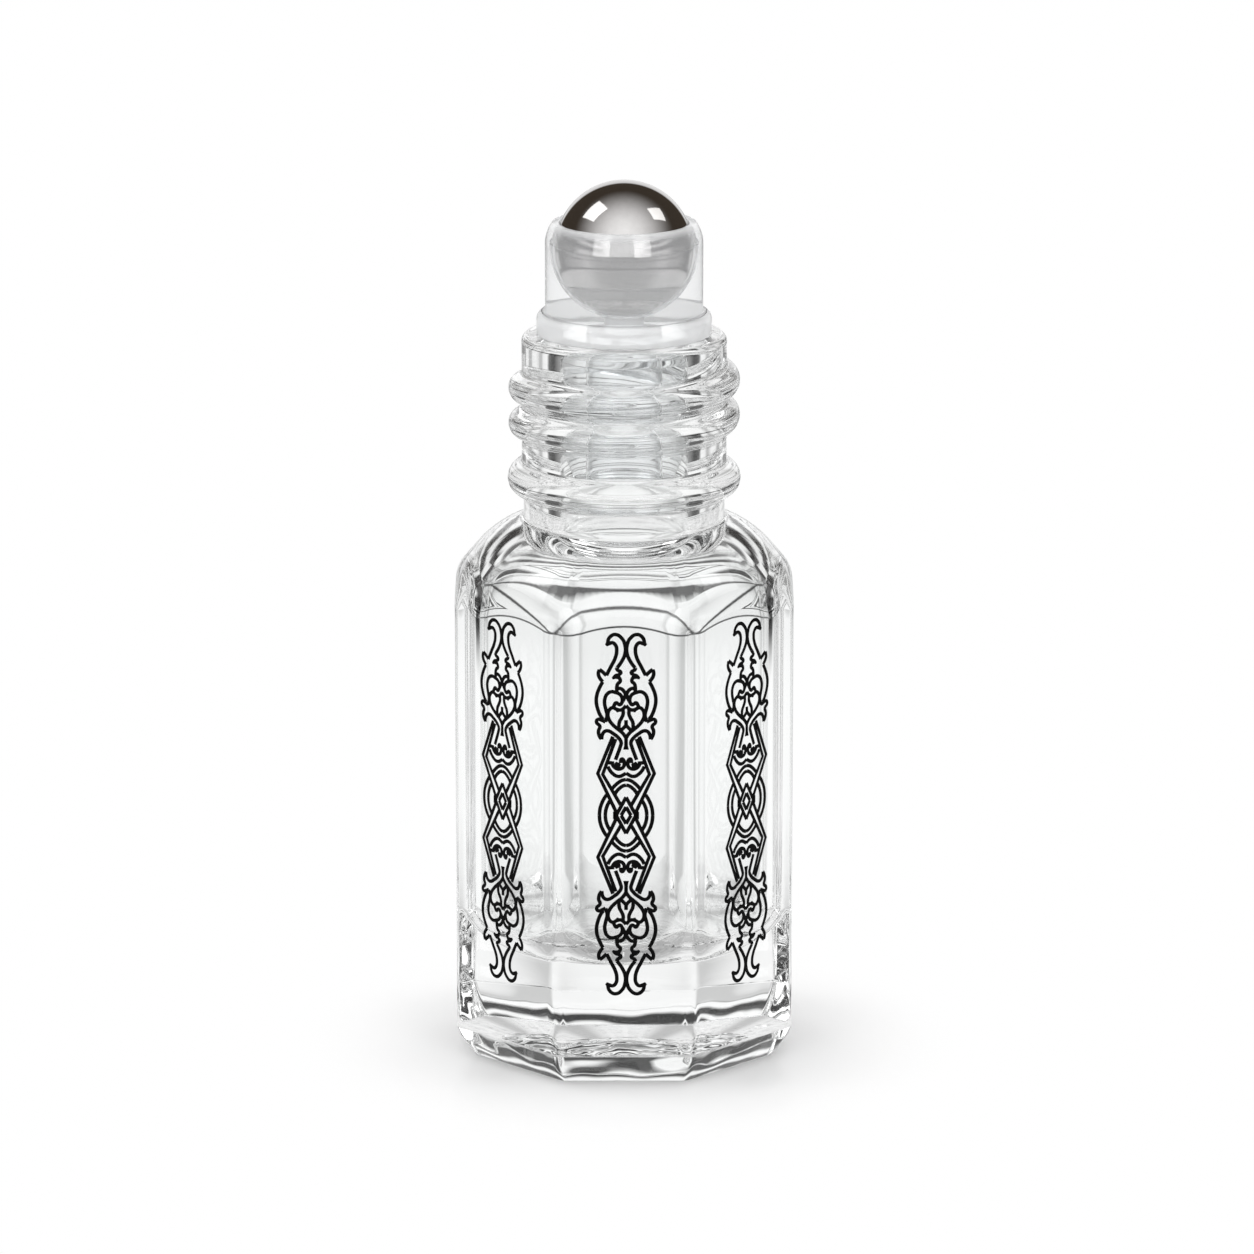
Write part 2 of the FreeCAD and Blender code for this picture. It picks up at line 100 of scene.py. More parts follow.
# Ball and housing
BALL_RADIUS = (ball_high.z - ball_low.z) / 2
BALL_Z = (ball_high.z + ball_low.z) / 2
PLUG_TIP_Z = housing_low.z
RIM_Z = housing_high.z
COLLAR_GAP = 0.02 * MM
SEAT_Z = LIP_Z + COLLAR_GAP
PLUG_RADIUS = 3.85 * MM
PLUG_TIP_RADIUS = 3.15 * MM
PLUG_BORE_RADIUS = 2.3 * MM
PLUG_TAPER = 1.9 * MM
RIB_CREST = 4.02 * MM
RIB_RADIUS = 0.35 * MM
RIB_DROP = 1.1 * MM
RIB_SPACING = 2.2 * MM
RIB_COUNT = 3
COLLAR_RADIUS = 5.52 * MM
COLLAR_HEIGHT = 1.4 * MM
COLLAR_TOP_Z = SEAT_Z + COLLAR_HEIGHT
COLLAR_ROUND = 0.45 * MM
CUP_RADIUS = 4.97 * MM
CUP_BORE_RADIUS = 4.535 * MM
CUP_ROOT_ROUND = 0.25 * MM
RIM_OUTER_RADIUS = 4.512 * MM
RIM_CURVE_RADIUS = 2.25 * MM
GRIP_GAP = 0.05 * MM
GRIP_RADIUS = BALL_RADIUS + GRIP_GAP
GRIP_RISE = 0.4 * MM
GRIP_Z = BALL_Z + GRIP_RISE
SEAT_GAP = 0.03 * MM
SEAT_CENTRE_Z = BALL_Z + CUP_BORE_RADIUS - BALL_RADIUS - SEAT_GAP
FEED_RADIUS = 1.2 * MM
WEB_LOW_Z = 46.449 * MM
SMALL_ROUND = 0.08 * MM

# Mesh fineness: columns round the pieces, steps along their curves
FLAT_COLUMNS = 14
CORNER_COLUMNS = 12
ROUND_COLUMNS = 128
ROUND_STEPS = 5
CURVE_STEPS = 8
CHAMFER_STEPS = 6
SHOULDER_STEPS = 14
INNER_SHOULDER_STEPS = 16
BOWL_STEPS = 12
BEAD_STEPS = 18
RIB_STEPS = 10
SEAT_STEPS = 24
THREAD_RING_STEP = 0.06 * MM
THREAD_TRACE_STEPS = 60


def on_circle(centre, radius, angle):
    """The point of a circle at an angle, in the plane of radius and height."""
    return Vector((centre[0] + radius * math.cos(angle), centre[1] + radius * math.sin(angle)))


def arc(centre, radius, start, end, steps):
    """Points along an arc in the plane of radius and height, with both ends."""
    return [on_circle(centre, radius, start + (end - start) * step / steps) for step in range(steps + 1)]


def round_corner(before, corner, after, radius):
    """Points of the arc that rounds the corner between two straight runs."""
    back = (before - corner).normalized()
    on = (after - corner).normalized()
    half_angle = back.angle(on) / 2
    reach = radius / math.tan(half_angle)
    centre = corner + (back + on).normalized() * radius / math.sin(half_angle)
    start = heading(centre, corner + back * reach)
    turn = math.remainder(heading(centre, corner + on * reach) - start, 2 * math.pi)
    return arc(centre, radius, start, start + turn, ROUND_STEPS)


def rounded_path(corners, closed=False):
    """Points of a path through (radius, height, rounding) corners, with the roundings drawn as arcs."""
    places = [Vector(corner[:2]) for corner in corners]
    count = len(corners)
    points = []
    for number, (place, corner) in enumerate(zip(places, corners)):
        at_end = not closed and number in (0, count - 1)
        if at_end or not corner[2]:
            points.append(place)
        else:
            points += round_corner(places[number - 1], place, places[(number + 1) % count], corner[2])
    return points


def sharp(points):
    """Turn points into corners that aren't rounded."""
    return [(point[0], point[1], 0) for point in points]


def heading(start, end):
    """Angle of the way from one point to another."""
    return math.atan2(end[1] - start[1], end[0] - start[0])


def hollow_round(wall_radius, centre, radius, rounding, above):
    """Centre of the hollow round between an upright wall and a round form below or above its end."""
    across = wall_radius + rounding - centre[0]
    rise = math.sqrt((radius + rounding)**2 - across**2)
    return Vector((wall_radius + rounding, centre[1] + (rise if above else -rise)))


def flat_end(half_width, edge_radius):
    """Angle about Z from a panel's middle to where the round of its edge starts."""
    return math.atan((half_width - edge_radius) * math.tan(PANEL_ANGLE / 2) / half_width)


def octagon_radius(angle, half_width, edge_radius):
    """Distance from the axis to a rounded octagon's side, at an angle about Z."""
    turn = math.remainder(angle + math.pi / 2, PANEL_ANGLE)
    if abs(turn) <= flat_end(half_width, edge_radius):
        return half_width / math.cos(turn)
    corner = (half_width - edge_radius) / math.cos(PANEL_ANGLE / 2)
    off = PANEL_ANGLE / 2 - abs(turn)
    return corner * math.cos(off) + math.sqrt(edge_radius**2 - (corner * math.sin(off))**2)


def octagon_angles():
    """Angles of the glass's columns: spread over each flat, and closer together round each edge."""
    half_flat = flat_end(BODY_HALF, EDGE_RADIUS)
    edge_width = PANEL_ANGLE - 2 * half_flat
    angles = []
    for panel in range(PANELS):
        middle = panel * PANEL_ANGLE - math.pi / 2
        for column in range(FLAT_COLUMNS):
            angles.append(middle + half_flat * (2 * column / FLAT_COLUMNS - 1))
        for column in range(CORNER_COLUMNS):
            angles.append(middle + half_flat + edge_width * column / CORNER_COLUMNS)
    return angles


def round_angles():
    """Evenly spaced angles for pieces that are round about Z."""
    return [2 * math.pi * column / ROUND_COLUMNS for column in range(ROUND_COLUMNS)]


def smooth_least(first, second, blend):
    """The lesser of two distances, with a soft change from one to the other."""
    share = max(blend - abs(first - second), 0) / blend
    return min(first, second) - share**2 * blend / 4


def thread_rise(turn):
    """How far the thread has risen after some turns: slowly at the front and faster at the back."""
    eased = turn + THREAD_EASE_SHARE * math.sin(2 * math.pi * turn) / (2 * math.pi)
    return THREAD_PITCH * eased


def threaded_radius(angle, height):
    """Distance from the axis to the neck's surface, with the thread wound on it."""
    start_share = ((angle - math.pi / 2) / (2 * math.pi)) % 1
    around = 2 * math.pi * NECK_RADIUS
    away = THREAD_PITCH * THREAD_TURNS
    for turn in range(-1, THREAD_TURNS + 1):
        wound = start_share + turn
        nearest = min(max(wound, 0), THREAD_TURNS)
        rise = height - THREAD_LOW_Z - thread_rise(nearest)
        away = min(away, math.hypot(rise, (wound - nearest) * around))
    radius = NECK_RADIUS + THREAD_RADIUS + THREAD_BLEND
    for _ in range(THREAD_TRACE_STEPS):
        to_thread = math.hypot(radius - THREAD_CENTRE_RADIUS, away) - THREAD_RADIUS
        radius -= smooth_least(to_thread, radius - NECK_RADIUS, THREAD_BLEND)
    return radius


def base_outline(angle):
    """The outer side at one angle, from the punt's middle over foot and panel to the shoulder."""
    foot = octagon_radius(angle, BODY_HALF - FOOT_INSET, FOOT_EDGE_RADIUS)
    panel_foot = octagon_radius(angle, BODY_HALF, FOOT_EDGE_RADIUS)
    panel = octagon_radius(angle, BODY_HALF, EDGE_RADIUS)
    cone_end = on_circle(SHOULDER_CENTRE, SHOULDER_RADIUS, SHOULDER_SLOPE)
    arch_z = cone_end[1] - (panel - cone_end[0]) / math.tan(SHOULDER_SLOPE)
    dish_radius = (PUNT_RADIUS**2 + PUNT_DEPTH**2) / (2 * PUNT_DEPTH)
    dish_end = math.acos(PUNT_RADIUS / dish_radius)
    points = arc((0, PUNT_DEPTH - dish_radius), dish_radius, math.pi / 2, dish_end, CURVE_STEPS)
    points[0].x = 0
    corners = [(PUNT_RADIUS, 0, 0), (foot, 0, FOOT_ROUND)]
    for step in range(1, CHAMFER_STEPS):
        share = step / CHAMFER_STEPS
        swell = CHAMFER_SWELL * 4 * share * (1 - share)
        radius = foot + (panel_foot - foot) * share + swell
        corners.append((radius, CHAMFER_HEIGHT * share - swell / 2, 0))
    corners.append((panel_foot, CHAMFER_HEIGHT, CHAMFER_ROUND))
    corners.append((panel, arch_z, ARCH_ROUND))
    corners += sharp([cone_end])
    return points + rounded_path(corners)[1:-1]


def shoulder_outline():
    """The outer side from the shoulder's round over the neck's root to the top of the bead."""
    root = hollow_round(NECK_BASE_RADIUS, SHOULDER_CENTRE, SHOULDER_RADIUS, NECK_ROOT_ROUND, True)
    root_angle = heading(SHOULDER_CENTRE, root)
    points = arc(SHOULDER_CENTRE, SHOULDER_RADIUS, SHOULDER_SLOPE, root_angle, SHOULDER_STEPS)
    points += arc(root, NECK_ROOT_ROUND, root_angle + math.pi, math.pi, ROUND_STEPS)[1:]
    below = hollow_round(NECK_BASE_RADIUS, BEAD_CENTRE, BEAD_RADIUS, BEAD_ROOT_ROUND, False)
    above = hollow_round(NECK_RADIUS, BEAD_CENTRE, BEAD_RADIUS, BEAD_ROOT_ROUND, True)
    low_angle = heading(BEAD_CENTRE, below)
    high_angle = heading(BEAD_CENTRE, above)
    points += arc(below, BEAD_ROOT_ROUND, math.pi, low_angle + math.pi, ROUND_STEPS)
    points += arc(BEAD_CENTRE, BEAD_RADIUS, low_angle, high_angle, BEAD_STEPS)[1:]
    points += arc(above, BEAD_ROOT_ROUND, high_angle + math.pi, math.pi, ROUND_STEPS)[1:]
    return points


def neck_outline(angle, low_z):
    """The outer side at one angle from the top of the bead over the thread to the lip."""
    high_z = LIP_Z - LIP_ROUND
    rings = round((high_z - low_z) / THREAD_RING_STEP)
    points = []
    for ring in range(1, rings + 1):
        height = low_z + (high_z - low_z) * ring / rings
        points.append(Vector((threaded_radius(angle, height), height)))
    points += arc((NECK_RADIUS - LIP_ROUND, high_z), LIP_ROUND, 0, math.pi / 2, ROUND_STEPS)[1:]
    return points


def outer_meridian(angle):
    """The outer side of the glass at one angle, from the punt's middle up to the lip."""
    points = base_outline(angle) + shoulder_outline()
    return points + neck_outline(angle, points[-1].y)


def inner_meridian(angle):
    """The inner side of the glass at one angle, from the lip down to the floor's middle."""
    wall = octagon_radius(angle, BODY_HALF - WALL, INNER_EDGE_RADIUS)
    shoulder = SHOULDER_RADIUS - WALL
    lip = (BORE_RADIUS + LIP_INNER_ROUND, LIP_Z - LIP_INNER_ROUND)
    points = arc(lip, LIP_INNER_ROUND, math.pi / 2, math.pi, ROUND_STEPS)
    mouth = (BORE_RADIUS + BORE_ROUND, SHOULDER_CENTRE[1] + shoulder + BORE_ROUND)
    points += arc(mouth, BORE_ROUND, math.pi, 3 * math.pi / 2, CURVE_STEPS)
    points += arc(SHOULDER_CENTRE, shoulder, math.pi / 2, SHOULDER_SLOPE, INNER_SHOULDER_STEPS)
    cone_end = points[-1]
    arch_z = cone_end[1] - (wall - cone_end[0]) / math.tan(SHOULDER_SLOPE)
    bowl_radius = (BODY_HALF - WALL) / math.cos(PANEL_ANGLE / 2) - BOWL_RADIUS
    bowl = Vector((bowl_radius, FLOOR_HEIGHT + BOWL_RADIUS))
    turn_radius = wall - BOWL_ROUND
    turn_drop = math.sqrt((BOWL_RADIUS - BOWL_ROUND)**2 - (turn_radius - bowl_radius)**2)
    turn = Vector((turn_radius, bowl[1] - turn_drop))
    turn_end = heading(bowl, turn)
    wall_corners = [(cone_end[0], cone_end[1], 0), (wall, arch_z, INNER_ARCH_ROUND), (wall, turn[1], 0)]
    points += rounded_path(wall_corners)[1:-1]
    points += arc(turn, BOWL_ROUND, 0, turn_end, ROUND_STEPS)
    points += arc(bowl, BOWL_RADIUS, turn_end, -math.pi / 2, BOWL_STEPS)[1:]
    points.append(Vector((bowl_radius / 2, FLOOR_HEIGHT)))
    points.append(Vector((0, FLOOR_HEIGHT)))
    return points


def add_object(name, data):
    """Put an object with some data into the scene."""
    thing = bpy.data.objects.new(name, data)
    bpy.context.scene.collection.objects.link(thing)
    return thing


def soften(mesh):
    """Shade a mesh smooth, with normals that follow its larger faces so that flats stay flat."""
    sums = [Vector() for _ in mesh.vertices]
    for face in mesh.polygons:
        face.use_smooth = True
        for vertex in face.vertices:
            sums[vertex] += face.normal * face.area
    mesh.normals_split_custom_set_from_vertices([total.normalized() for total in sums])


def ring_piece(name, angles, meridian, closed=False):
    """Make a mesh from one meridian per angle, which runs between two points on the axis or is closed."""
    columns = []
    for angle in angles:
        across = Vector((math.cos(angle), math.sin(angle), 0))
        columns.append([across * point[0] + Vector((0, 0, point[1])) for point in meridian(angle)])
    rows = columns if closed else [column[1:-1] for column in columns]
    height = len(rows[0])
    vertices = [point for column in rows for point in column]
    faces = []
    for number in range(len(rows)):
        here = number * height
        there = (number + 1) % len(rows) * height
        for row in range(height if closed else height - 1):
            up = (row + 1) % height
            faces.append((here + row, there + row, there + up, here + up))
        if not closed:
            faces.append((len(vertices), there, here))
            faces.append((len(vertices) + 1, here + height - 1, there + height - 1))
    if not closed:
        vertices += [columns[0][0], columns[0][-1]]
    mesh = bpy.data.meshes.new(name)
    mesh.from_pydata(vertices, [], faces)
    mesh.update()
    soften(mesh)
    return add_object(name, mesh)


def glass_piece():
    """The glass bottle as one closed surface, outside and inside."""
    return ring_piece("clear_bottle", octagon_angles(),
                      lambda angle: outer_meridian(angle) + inner_meridian(angle))


def plug_corners():
    """The housing's section from the bore's lower end round the tip and up over the ribs."""
    rib_angle = math.acos((PLUG_RADIUS - RIB_CREST + RIB_RADIUS) / RIB_RADIUS)
    corners = [
        (PLUG_BORE_RADIUS, PLUG_TIP_Z, SMALL_ROUND),
        (PLUG_TIP_RADIUS, PLUG_TIP_Z, 2 * SMALL_ROUND),
        (PLUG_RADIUS, PLUG_TIP_Z + PLUG_TAPER, 2 * SMALL_ROUND),
    ]
    for rib in reversed(range(RIB_COUNT)):
        centre = (RIB_CREST - RIB_RADIUS, LIP_Z - RIB_DROP - rib * RIB_SPACING)
        corners += sharp(arc(centre, RIB_RADIUS, -rib_angle, rib_angle, RIB_STEPS))
    return corners


def cup_corners():
    """The housing's section from below the collar up the outside of the cup to its rim."""
    depth = CUP_RADIUS - RIM_OUTER_RADIUS
    curve_end = math.acos((RIM_CURVE_RADIUS - depth) / RIM_CURVE_RADIUS)
    curve = (CUP_RADIUS - RIM_CURVE_RADIUS, RIM_Z - RIM_CURVE_RADIUS * math.sin(curve_end))
    corners = [
        (PLUG_RADIUS, SEAT_Z, SMALL_ROUND),
        (COLLAR_RADIUS, SEAT_Z, SMALL_ROUND),
        (COLLAR_RADIUS, COLLAR_TOP_Z, COLLAR_ROUND),
        (CUP_RADIUS, COLLAR_TOP_Z, CUP_ROOT_ROUND),
    ]
    corners += sharp(arc(curve, RIM_CURVE_RADIUS, 0, curve_end, CURVE_STEPS)[:-1])
    corners.append((RIM_OUTER_RADIUS, RIM_Z, SMALL_ROUND))
    return corners


def seat_corners():
    """The housing's section from the rim down round the ball to the feed hole and the plug's bore."""
    grip_start = math.asin((RIM_Z - BALL_Z) / GRIP_RADIUS)
    grip_end = math.asin((GRIP_Z - BALL_Z) / GRIP_RADIUS)
    seat_end = -math.acos(FEED_RADIUS / CUP_BORE_RADIUS)
    corners = [(GRIP_RADIUS * math.cos(grip_start), RIM_Z, SMALL_ROUND)]
    corners += sharp(arc((0, BALL_Z), GRIP_RADIUS, grip_start, grip_end, CURVE_STEPS)[1:])
    corners.append((CUP_BORE_RADIUS, GRIP_Z, SMALL_ROUND / 2))
    corners += sharp(arc((0, SEAT_CENTRE_Z), CUP_BORE_RADIUS, 0, seat_end, SEAT_STEPS))
    corners.append((FEED_RADIUS, WEB_LOW_Z, SMALL_ROUND))
    corners.append((PLUG_BORE_RADIUS, WEB_LOW_Z, SMALL_ROUND))
    return corners


def housing_piece():
    """The one-piece plastic housing."""
    section = rounded_path(plug_corners() + cup_corners() + seat_corners(), closed=True)
    return ring_piece("milky_housing", round_angles(), lambda angle: section, closed=True)


def ball_piece():
    """The polished ball."""
    section = arc((0, BALL_Z), BALL_RADIUS, -math.pi / 2, math.pi / 2, ROUND_COLUMNS // 2)
    section[0].x = 0
    section[-1].x = 0
    return ring_piece("polished_ball", round_angles(), lambda angle: section)


# Printed ornament: each print's panel, counted from the front one, and its shift along that panel
PRINTS = {
    "ink_front": (0, 0.12 * MM),
    "ink_left": (-1, -0.14 * MM),
    "ink_right": (1, 0.2 * MM),
}
ORNAMENT_Z = 17.82 * MM
INK_BEVEL_STEPS = 2
INK_CURVE_STEPS = 5

# Strokes of the ornament's upper right quarter, in squares of the drawing's grid from its middle
GRID_WIDTH = 0.0293 * MM
GRID_HEIGHT = 0.0302 * MM
STROKES = {
    "horn_outside": [(39.5, 365), (35.5, 379), (23, 386), (9, 378), (2.2, 363), (2, 346), (8.5, 330),
                     (19, 315)],
    "horn_inside": [(42, 364), (35, 367), (28.5, 368.5), (22, 363), (19.8, 351), (23, 336), (32, 318),
                    (41.7, 299)],
    "spike_inside": [(41.7, 299), (49, 306), (56.5, 312)],
    "spike_outside": [(56.5, 312), (58.7, 303), (57, 296), (49.7, 285.5)],
    "side_arc": [(49.7, 285.5), (56, 273.5), (61.5, 259), (63.2, 244), (60.5, 229), (54, 213),
                 (48.5, 205.5)],
    "teeth": [(19, 315), (19.5, 312.5), (11, 305), (16, 299.5), (12.2, 287), (17.5, 281.5), (19.6, 274),
              (19.2, 263)],
    "small_lobe": [(18, 272), (10, 270.5), (4.5, 265.5), (0.5, 258)],
    "inner_arc": [(19.2, 262), (31.2, 264.4), (40.2, 259.5), (44.8, 250), (45.6, 240), (43, 227),
                  (40.3, 215), (43.7, 200)],
    "curl": [(19.2, 262), (12.8, 258.5), (8.3, 251), (9, 241), (13, 236.8), (17, 238.5), (21, 241),
             (24.8, 236.5), (27, 231)],
    "knot": [(0, 262), (3.5, 251), (9, 241)],
    "heart": [(0, 235), (6.5, 228), (12, 225.5), (20, 227), (28.5, 230.5), (35, 226.5), (38.6, 215),
              (35.5, 204), (28, 194), (18, 185), (7.5, 176.5), (0, 166)],
    "heart_stem": [(6.5, 226), (6.2, 217), (9.5, 208.5), (14, 200), (15.2, 191), (15, 184)],
    "drop": [(0, 204), (0, 193)],
    "chevron": [(0, 193), (5.5, 187), (11, 182)],
    "stem": [(0, 174), (0, 158), (0, 142)],
    "fishtail_outside": [(43.7, 200), (51, 203.5), (59.8, 205.5), (62.8, 200), (55.5, 190.5), (58.5, 181),
                         (57, 171), (52.2, 163)],
    "fishtail_inside": [(52.2, 163), (50, 174), (45, 180), (38, 181), (27, 175), (16, 166), (10.3, 156),
                        (12, 148), (18, 131), (22.5, 119)],
    "scroll": [(31, 114), (26, 104.5), (19, 99.8), (12, 99.8), (6, 103.5), (3.7, 110.5), (5, 118),
               (8.5, 121), (11.3, 118), (10.5, 112)],
    "moustache": [(39, 105), (34, 96), (27, 88.5), (20, 84.3), (12, 84), (5, 87.5), (0, 90.5)],
    "upper_arch": [(0, 77), (9, 74.8), (18, 69), (26.5, 61), (32.5, 53.5)],
    "lower_arch": [(0, 65), (7, 63), (14, 58), (20.5, 51), (25, 43)],
    "outer_ring": [(41.5, 44.5), (49, 32), (55, 16), (57, 0)],
    "inner_ring": [(34.5, 31.5), (40, 21), (43.3, 10), (44.3, 0)],
}
STRAIGHT_STROKES = {
    "outer_strap": [(28, 169), (60.2, 90), (21, 7)],
    "inner_strap": [(22, 164), (49.7, 88), (11.5, 22.5)],
    "outer_diamond": [(0, 39), (21, 0)],
    "inner_diamond": [(0, 18), (10.5, 0)],
    "bridge": [(38, 113), (25, 112)],
}

# Strokes whose third number is their width beside the plain stroke's
FILLED_STROKES = {
    "tongue": [(13.5, 297, 1.6), (21, 297, 1.5), (29.3, 292.3, 0.6)],
    "horn_tip": [(36, 368, 0.9), (43.5, 363.5, 0.7)],
    "scroll_eye": [(12, 105, 1.3), (19, 107, 1.9), (24.5, 112, 1.3)],
    "arrow_head": [(0, 234, 0.6), (0, 228.5, 1.5)],
    "stem_foot": [(0, 150, 1.0), (0, 141, 1.5)],
    "leaf_notch": [(18.5, 226, 1.2), (18, 220.5, 0.5)],
    "crossing": [(22.5, 8, 1.3), (22.5, -8, 1.3)],
}


def add_stroke(curve, points, smooth, sides):
    """Add one stroke of the ornament to a curve, mirrored by a pair of signs."""
    spline = curve.splines.new("BEZIER")
    spline.bezier_points.add(len(points) - 1)
    for knot, point in zip(spline.bezier_points, points):
        knot.co = (point[0] * GRID_WIDTH * sides[0], 0, point[1] * GRID_HEIGHT * sides[1])
        knot.radius = point[2] if len(point) > 2 else 1
        knot.handle_left_type = "AUTO" if smooth else "VECTOR"
        knot.handle_right_type = knot.handle_left_type


def ornament_mesh(name):
    """Draw all strokes as flat ink lines on the plane y = 0, which stand out towards -Y."""
    curve = bpy.data.curves.new(name, "CURVE")
    curve.dimensions = "3D"
    curve.bevel_depth = INK_HALF_WIDTH
    curve.bevel_resolution = INK_BEVEL_STEPS
    curve.resolution_u = INK_CURVE_STEPS
    curve.use_fill_caps = True
    for sides in ((1, 1), (-1, 1), (1, -1), (-1, -1)):
        for table, smooth in ((STROKES, True), (STRAIGHT_STROKES, False), (FILLED_STROKES, True)):
            for points in table.values():
                add_stroke(curve, points, smooth, sides)
    drawn = add_object(name, curve)
    bpy.context.view_layer.update()
    mesh = bpy.data.meshes.new_from_object(drawn.evaluated_get(bpy.context.evaluated_depsgraph_get()))
    bpy.data.objects.remove(drawn)
    for vertex in mesh.vertices:
        depth = vertex.co.y * INK_HEIGHT / INK_HALF_WIDTH
        vertex.co.y = min(max(depth, -INK_HEIGHT), 0)
    return mesh


def ornament_pieces():
    """The printed ornament on the front panel and on the panels to its left and right."""
    pieces = []
    for name, (panel, shift) in PRINTS.items():
        piece = add_object(name, ornament_mesh(name))
        on_front = Matrix.Translation((shift, -BODY_HALF, ORNAMENT_Z))
        piece.data.transform(Matrix.Rotation(panel * PANEL_ANGLE, 4, "Z") @ on_front)
        pieces.append(piece)
    return pieces


# Directions and white, as the shaders take them
UP = (0, 0, 1)
BACK = (0, 1, 0)
LEVEL = (1, 1, 0)
WHITE = (1, 1, 1, 1)


def own_place(tree):
    """Add the place on a piece, in the piece's own frame."""
    return tree.nodes.new("ShaderNodeTexCoord").outputs["Object"]


def vector_step(tree, operation, source, other=None, output="Vector"):
    """Add one step of vector arithmetic."""
    node = tree.nodes.new("ShaderNodeVectorMath")
    node.operation = operation
    tree.links.new(source, node.inputs[0])
    if other:
        node.inputs[1].default_value = other
    return node.outputs[output]


def along(tree, place, direction):
    """Add how far a place lies along a direction."""
    return vector_step(tree, "DOT_PRODUCT", place, direction, "Value")


def length(tree, place):
    """Add how far a place lies from the origin."""
    return vector_step(tree, "LENGTH", place, output="Value")


def number_step(tree, operation, first, second):
    """Add one step of arithmetic on two values."""
    step = tree.nodes.new("ShaderNodeMath")
    step.operation = operation
    tree.links.new(first, step.inputs[0])
    tree.links.new(second, step.inputs[1])
    return step.outputs["Value"]


def greater(tree, first, second):
    """Add the greater of two values."""
    return number_step(tree, "MAXIMUM", first, second)


def plus(tree, first, second):
    """Add the sum of two values."""
    return number_step(tree, "ADD", first, second)


def times(tree, first, second):
    """Add the product of two values."""
    return number_step(tree, "MULTIPLY", first, second)


def share_between(tree, value, low, high):
    """Add how far a value has come from low to high, from 0 to 1."""
    part = tree.nodes.new("ShaderNodeMapRange")
    part.inputs["From Min"].default_value = low
    part.inputs["From Max"].default_value = high
    tree.links.new(value, part.inputs["Value"])
    return part.outputs["Result"]


def soft_step(tree, value, low, high, start, end):
    """Add a soft change from one value to another as an input goes from low to high."""
    fade = tree.nodes.new("ShaderNodeMapRange")
    fade.interpolation_type = "SMOOTHSTEP"
    fade.inputs["From Min"].default_value = low
    fade.inputs["From Max"].default_value = high
    fade.inputs["To Min"].default_value = start
    fade.inputs["To Max"].default_value = end
    tree.links.new(value, fade.inputs["Value"])
    return fade.outputs["Result"]


def grey_ramp(tree, value, stops):
    """Add a run of grey levels along a value from 0 to 1."""
    ramp = tree.nodes.new("ShaderNodeValToRGB")
    levels = ramp.color_ramp.elements
    levels.remove(levels[1])
    for number, (share, light) in enumerate(sorted(stops)):
        level = levels.new(share) if number else levels[0]
        level.position = share
        level.color = (light, light, light, 1)
    tree.links.new(value, ramp.inputs["Fac"])
    return ramp.outputs["Color"]


def mix_shader(tree, share, first, second):
    """Add a mix of two shaders."""
    mix = tree.nodes.new("ShaderNodeMixShader")
    tree.links.new(share, mix.inputs["Fac"])
    tree.links.new(first, mix.inputs[1])
    tree.links.new(second, mix.inputs[2])
    return mix.outputs["Shader"]


def noise(tree, scale, detail, upright_share=1):
    """Add a noise pattern on a piece, stretched upright where that share is below 1."""
    pattern = tree.nodes.new("ShaderNodeTexNoise")
    pattern.inputs["Scale"].default_value = scale
    pattern.inputs["Detail"].default_value = detail
    place = own_place(tree)
    if upright_share < 1:
        place = vector_step(tree, "MULTIPLY", place, (1, 1, upright_share))
    tree.links.new(place, pattern.inputs["Vector"])
    return pattern.outputs["Fac"]


def vary(tree, source, values, target):
    """Drive a number of a shader from a pattern, between two values."""
    spread = tree.nodes.new("ShaderNodeMapRange")
    spread.inputs["To Min"].default_value = values[0]
    spread.inputs["To Max"].default_value = values[1]
    tree.links.new(source, spread.inputs["Value"])
    tree.links.new(spread.outputs["Result"], target)


def tint(tree, source, colours, target):
    """Drive a colour of a shader from a pattern, between two colours."""
    ramp = tree.nodes.new("ShaderNodeValToRGB")
    for level, colour in zip(ramp.color_ramp.elements, colours):
        level.color = (*colour, 1)
    tree.links.new(source, ramp.inputs["Fac"])
    tree.links.new(ramp.outputs["Color"], target)


def emboss(tree, source, strength, depth, shader):
    """Drive a shader's bump from a pattern."""
    bump = tree.nodes.new("ShaderNodeBump")
    bump.inputs["Strength"].default_value = strength
    bump.inputs["Distance"].default_value = depth
    tree.links.new(source, bump.inputs["Height"])
    tree.links.new(bump.outputs["Normal"], shader.inputs["Normal"])


def new_material(name):
    """Make a material and give its node tree and its surface shader."""
    material = bpy.data.materials.new(name)
    material.use_nodes = True
    tree = material.node_tree
    return material, tree, tree.nodes["Principled BSDF"]


# Glass: its waves, the dimples under its base and the stipple of its chamfer, as multiples of one relief
GLASS_REFRACTION = 1.52
GLASS_TINTS = ((0.97, 0.985, 0.98), (1, 1, 1))
GLASS_RELIEF = 0.004 * MM
WAVE_SCALE = 300
WAVE_UPRIGHT_SHARE = 0.12
DIMPLE_SCALE = 650
DIMPLE_MULTIPLE = 110
DIMPLE_FADE = 0.3 * MM
STIPPLE_SCALE = 450
STIPPLE_MULTIPLE = 28

